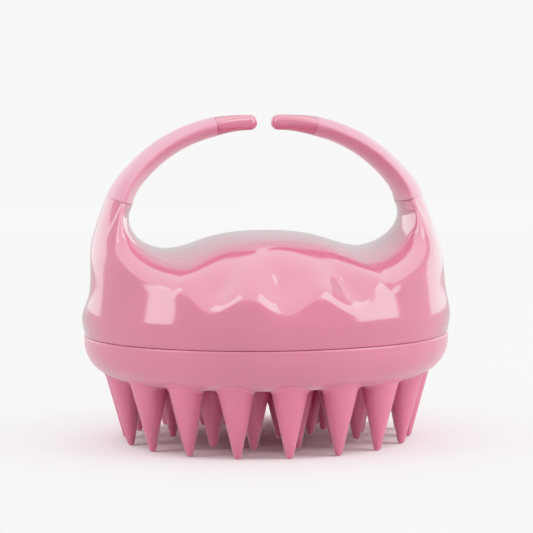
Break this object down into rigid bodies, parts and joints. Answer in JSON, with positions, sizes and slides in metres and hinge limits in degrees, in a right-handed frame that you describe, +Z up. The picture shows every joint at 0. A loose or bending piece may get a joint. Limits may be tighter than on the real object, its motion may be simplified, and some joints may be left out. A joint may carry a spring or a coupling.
{
  "type": "scalp massager brush",
  "caption": "Round scalp massager brush with soft tapered bristles under a hollow finger-grooved body and a split, flexible ring handle.",
  "frame": {"origin": "below the centre of the round pad, on the plane that the outer bristle tips stand on", "axes": "+Z up through the ring handle, +X across the two handle arms to the right arm, -Y towards the front"},
  "size_m": [0.09, 0.09, 0.079],
  "materials": {
    "gloss_shell": "polished moulded pink ABS",
    "inner_plastic": "plain moulded ABS, unseen",
    "screw_steel": "zinc plated",
    "pad_silicone": "satin silicone",
    "bristle_silicone": "satin silicone",
    "spine_plastic": "natural polypropylene",
    "sleeve_rubber": "matte soft-touch elastomer"
  },
  "bodies": {
    "brush": {"housing": "gloss_shell", "base_plate": "inner_plastic", "plate_screws": "screw_steel", "brush_pad": "pad_silicone", "bristles_outer_ring": "bristle_silicone", "bristles_middle_ring": "bristle_silicone", "bristles_inner_ring": "bristle_silicone"},
    "left_arm": {"left_arm_tip": "gloss_shell", "left_grip_sleeve": "sleeve_rubber", "left_arm_spine": "spine_plastic"},
    "right_arm": {"right_arm_tip": "gloss_shell", "right_grip_sleeve": "sleeve_rubber", "right_arm_spine": "spine_plastic"}
  },
  "joints": [
    {"name": "left_arm_flex", "type": "hinge", "parent": "brush", "child": "left_arm", "pos_m": [-0.034, 0, 0.0618], "axis": [0, -1, 0], "range_deg": [-2, 12], "stiffness_Nm_per_rad": 0.6, "deforming": ["left_grip_sleeve", "left_arm_spine"]},
    {"name": "right_arm_flex", "type": "hinge", "parent": "brush", "child": "right_arm", "pos_m": [0.034, 0, 0.0618], "axis": [0, 1, 0], "range_deg": [-2, 12], "stiffness_Nm_per_rad": 0.6, "deforming": ["right_grip_sleeve", "right_arm_spine"]}
  ]
}
